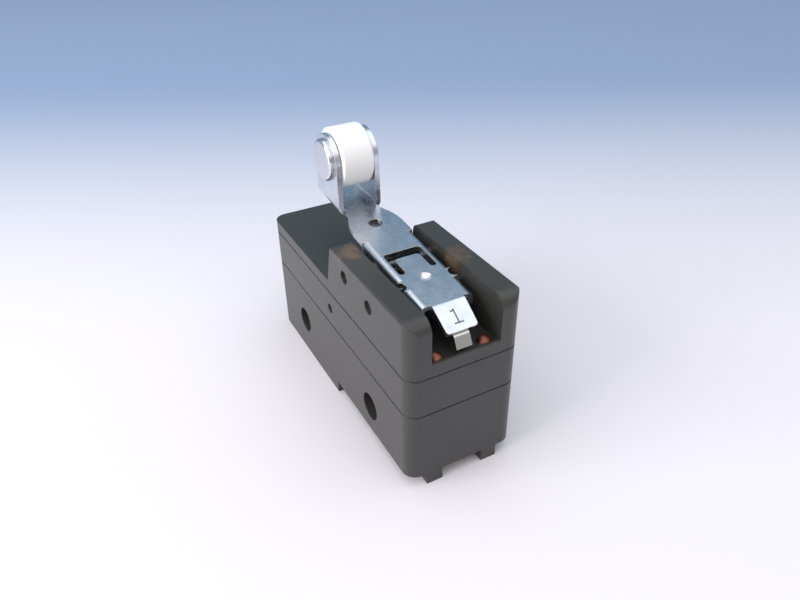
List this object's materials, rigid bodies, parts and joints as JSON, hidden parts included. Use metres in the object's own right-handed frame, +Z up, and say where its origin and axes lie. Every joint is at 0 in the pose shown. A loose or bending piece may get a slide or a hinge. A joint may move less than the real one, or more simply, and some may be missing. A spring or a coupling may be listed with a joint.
{
  "type": "lever micro switch",
  "caption": "Large snap-action switch with a dark moulded case, cross mounting holes and a sprung, reverse-acting stamped lever that carries a white nylon roller.",
  "frame": {"origin": "middle of the case's bottom, on the plane the case stands on", "axes": "+X along the case towards the lever's tab and the common terminal, +Y across the case away from the roller rivet's head, +Z up towards the roller"},
  "size_m": [0.0492, 0.0174, 0.041],
  "materials": {
    "case_plastic": "moulded thermoset, fine satin",
    "lever_sheet": "bright zinc plated stamping",
    "roller_nylon": "white nylon",
    "rivet_steel": "bright plated, headed",
    "pin_steel": "ground",
    "spring_steel": "spring wire",
    "leaf_steel": "bright spring strip",
    "plunger_plastic": "moulded thermoset",
    "spring_brass": "spring strip",
    "contact_silver": "silver alloy",
    "terminal_brass": "plated strip",
    "screw_steel": "plated",
    "clamp_steel": "plated",
    "rivet_copper": "bright copper"
  },
  "bodies": {
    "case": {"base_case": "case_plastic", "middle_case": "case_plastic", "cap": "case_plastic", "pivot_pin": "pin_steel", "stop_pin": "pin_steel", "return_spring": "spring_steel", "leaf_pin": "pin_steel", "common_terminal": "terminal_brass", "normally_open_terminal": "terminal_brass", "normally_closed_terminal": "terminal_brass", "normally_open_contact": "contact_silver", "normally_closed_contact": "contact_silver", "terminal_screws": "screw_steel", "terminal_clamps": "clamp_steel", "cap_rivets": "rivet_copper", "case_screws": "screw_steel", "blade_stop_pin": "pin_steel"},
    "lever": {"lever": "lever_sheet", "roller_rivet": "rivet_steel"},
    "roller": {"roller": "roller_nylon"},
    "leaf": {"actuator_leaf": "leaf_steel"},
    "plunger": {"plunger": "plunger_plastic"},
    "blade": {"snap_blade": "spring_brass", "moving_contact": "contact_silver"}
  },
  "joints": [
    {"name": "lever_hinge", "type": "hinge", "parent": "case", "child": "lever", "pos_m": [0.00586, 0, 0.02542], "axis": [0, -1, 0], "range_deg": [0, 18], "stiffness_Nm_per_rad": 0.03, "springref_deg": -40.11, "deforming": ["return_spring"]},
    {"name": "roller_spin", "type": "hinge", "parent": "lever", "child": "roller", "pos_m": [-0.0106, 0, 0.0363], "axis": [0, 1, 0], "continuous": true},
    {"name": "leaf_hinge", "type": "hinge", "parent": "case", "child": "leaf", "pos_m": [0.0028, 0, 0.0223], "axis": [0, -1, 0], "range_deg": [0, 4.5]},
    {"name": "plunger_slide", "type": "slide", "parent": "case", "child": "plunger", "axis": [0, 0, 1], "range_m": [0, 0.00037]},
    {"name": "blade_snap", "type": "hinge", "parent": "case", "child": "blade", "pos_m": [0.0134, 0, 0.01397], "axis": [0, 1, 0], "range_deg": [0, 1.98]}
  ],
  "couplings": [
    {"joint": "leaf_hinge", "follows": "lever_hinge", "ratio": 0.25},
    {"joint": "plunger_slide", "follows": "lever_hinge", "m_per_rad": 0.00117},
    {"joint": "blade_snap", "follows": "lever_hinge", "ratio": 0.11}
  ]
}
